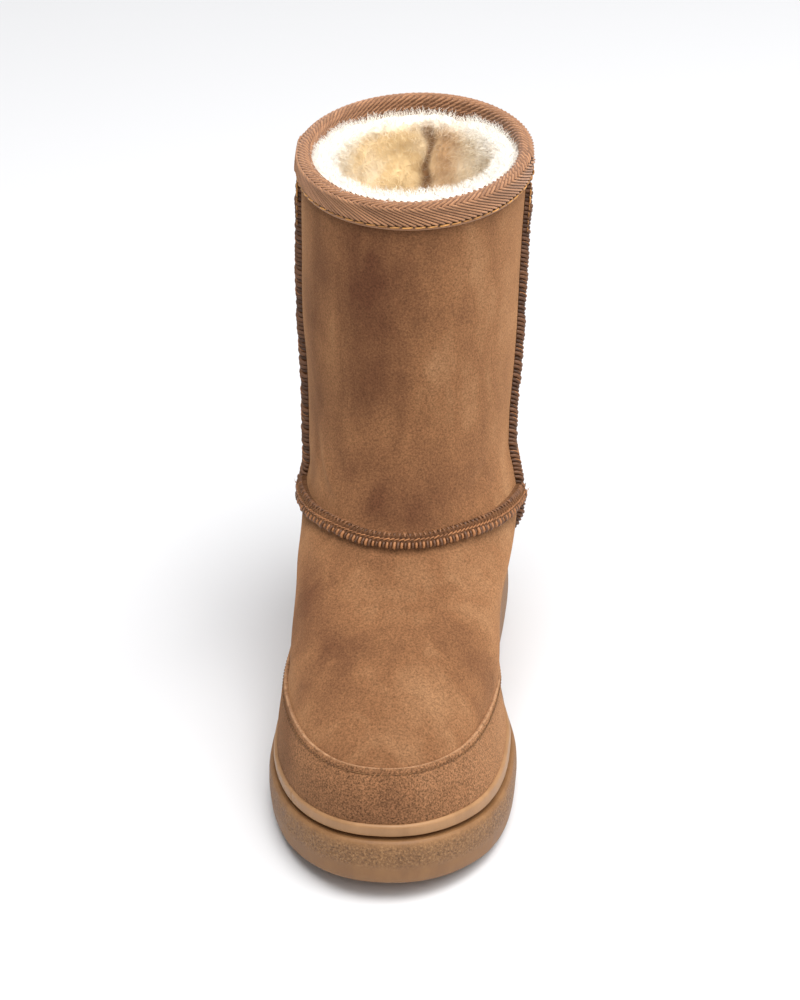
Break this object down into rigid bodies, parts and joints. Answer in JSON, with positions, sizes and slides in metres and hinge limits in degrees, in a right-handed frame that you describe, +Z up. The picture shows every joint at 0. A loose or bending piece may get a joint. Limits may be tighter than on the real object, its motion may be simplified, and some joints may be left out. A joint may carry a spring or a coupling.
{
  "type": "sheepskin boot",
  "caption": "Short pull-on sheepskin boot in chestnut suede with raised seams, woven collar binding, wool lining and thick rubber sole; right foot.",
  "frame": {"origin": "centre of the boot's bounding box at the floor, under the tread", "axes": "+Z up, toe towards -Y, heel towards +Y, medial (big toe) side towards +X"},
  "size_m": [0.1136, 0.29, 0.2724],
  "materials": {
    "chestnut_suede": "brushed suede nap, matte",
    "overlay_suede": "brushed suede nap, matte, cut edge",
    "whipped_edge": "suede edges whipped together with dark brown thread",
    "woven_tape": "herringbone twill tape",
    "cream_wool": "deep sheep's wool pile",
    "tan_rubber": "moulded foam rubber, matte, with a stippled band",
    "rand_rubber": "smooth satin rubber strip"
  },
  "bodies": {
    "root": {"outsole": "tan_rubber", "rand": "rand_rubber", "upper": "chestnut_suede", "toe_guard": "overlay_suede", "heel_counter": "overlay_suede", "ankle_seam": "whipped_edge", "side_seam_outer": "whipped_edge", "side_seam_inner": "whipped_edge", "back_seam": "whipped_edge", "collar_binding": "woven_tape", "fleece_lining": "cream_wool", "insole": "cream_wool"}
  },
  "joints": []
}
